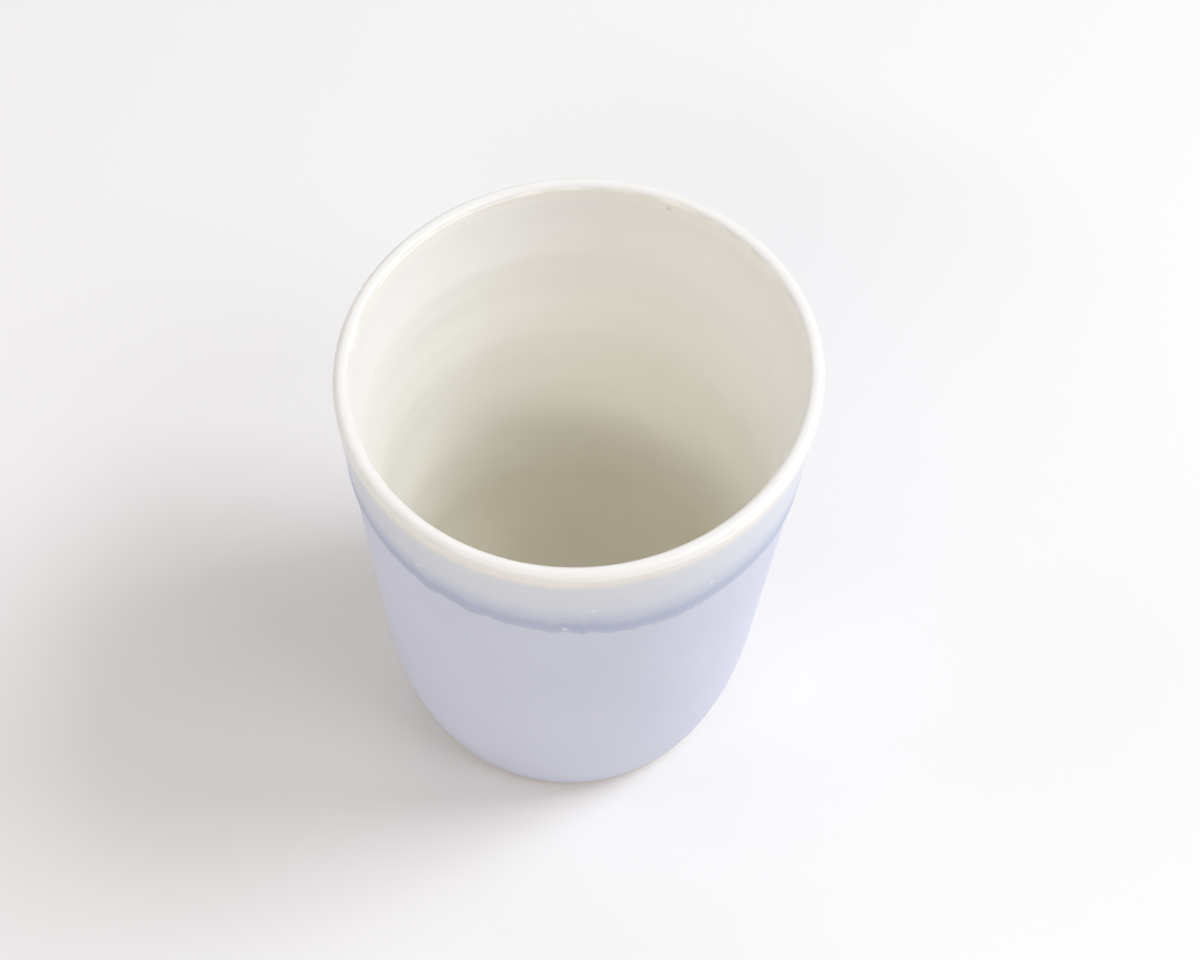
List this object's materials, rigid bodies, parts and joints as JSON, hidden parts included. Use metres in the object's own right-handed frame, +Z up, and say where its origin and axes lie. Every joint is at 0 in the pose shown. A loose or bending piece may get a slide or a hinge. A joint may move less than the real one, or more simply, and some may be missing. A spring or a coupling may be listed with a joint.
{
  "type": "handleless mug",
  "caption": "Tapered wheel-thrown ceramic cup with no handle: blue slip outside, cream glaze inside, white dipped lip over a pale band with a darker pooled edge.",
  "frame": {"origin": "centre of the foot ring, on the table plane that the cup stands on", "axes": "+Z up along the wheel axis, out of the mouth; +X to the right in the picture, whose camera looks along +Y and down"},
  "size_m": [0.0842, 0.0842, 0.1],
  "materials": {
    "clay": "bare fired clay",
    "slip": "satin blue slip",
    "liner": "gloss cream glaze",
    "lip": "gloss white glaze",
    "band": "gloss glaze over blue slip",
    "pool": "thick gloss glaze over blue slip"
  },
  "bodies": {
    "root": {"clay_body": "clay", "blue_slip": "slip", "liner_glaze": "liner", "lip_glaze": "lip", "band_glaze": "band", "pooled_edge": "pool"}
  },
  "joints": []
}
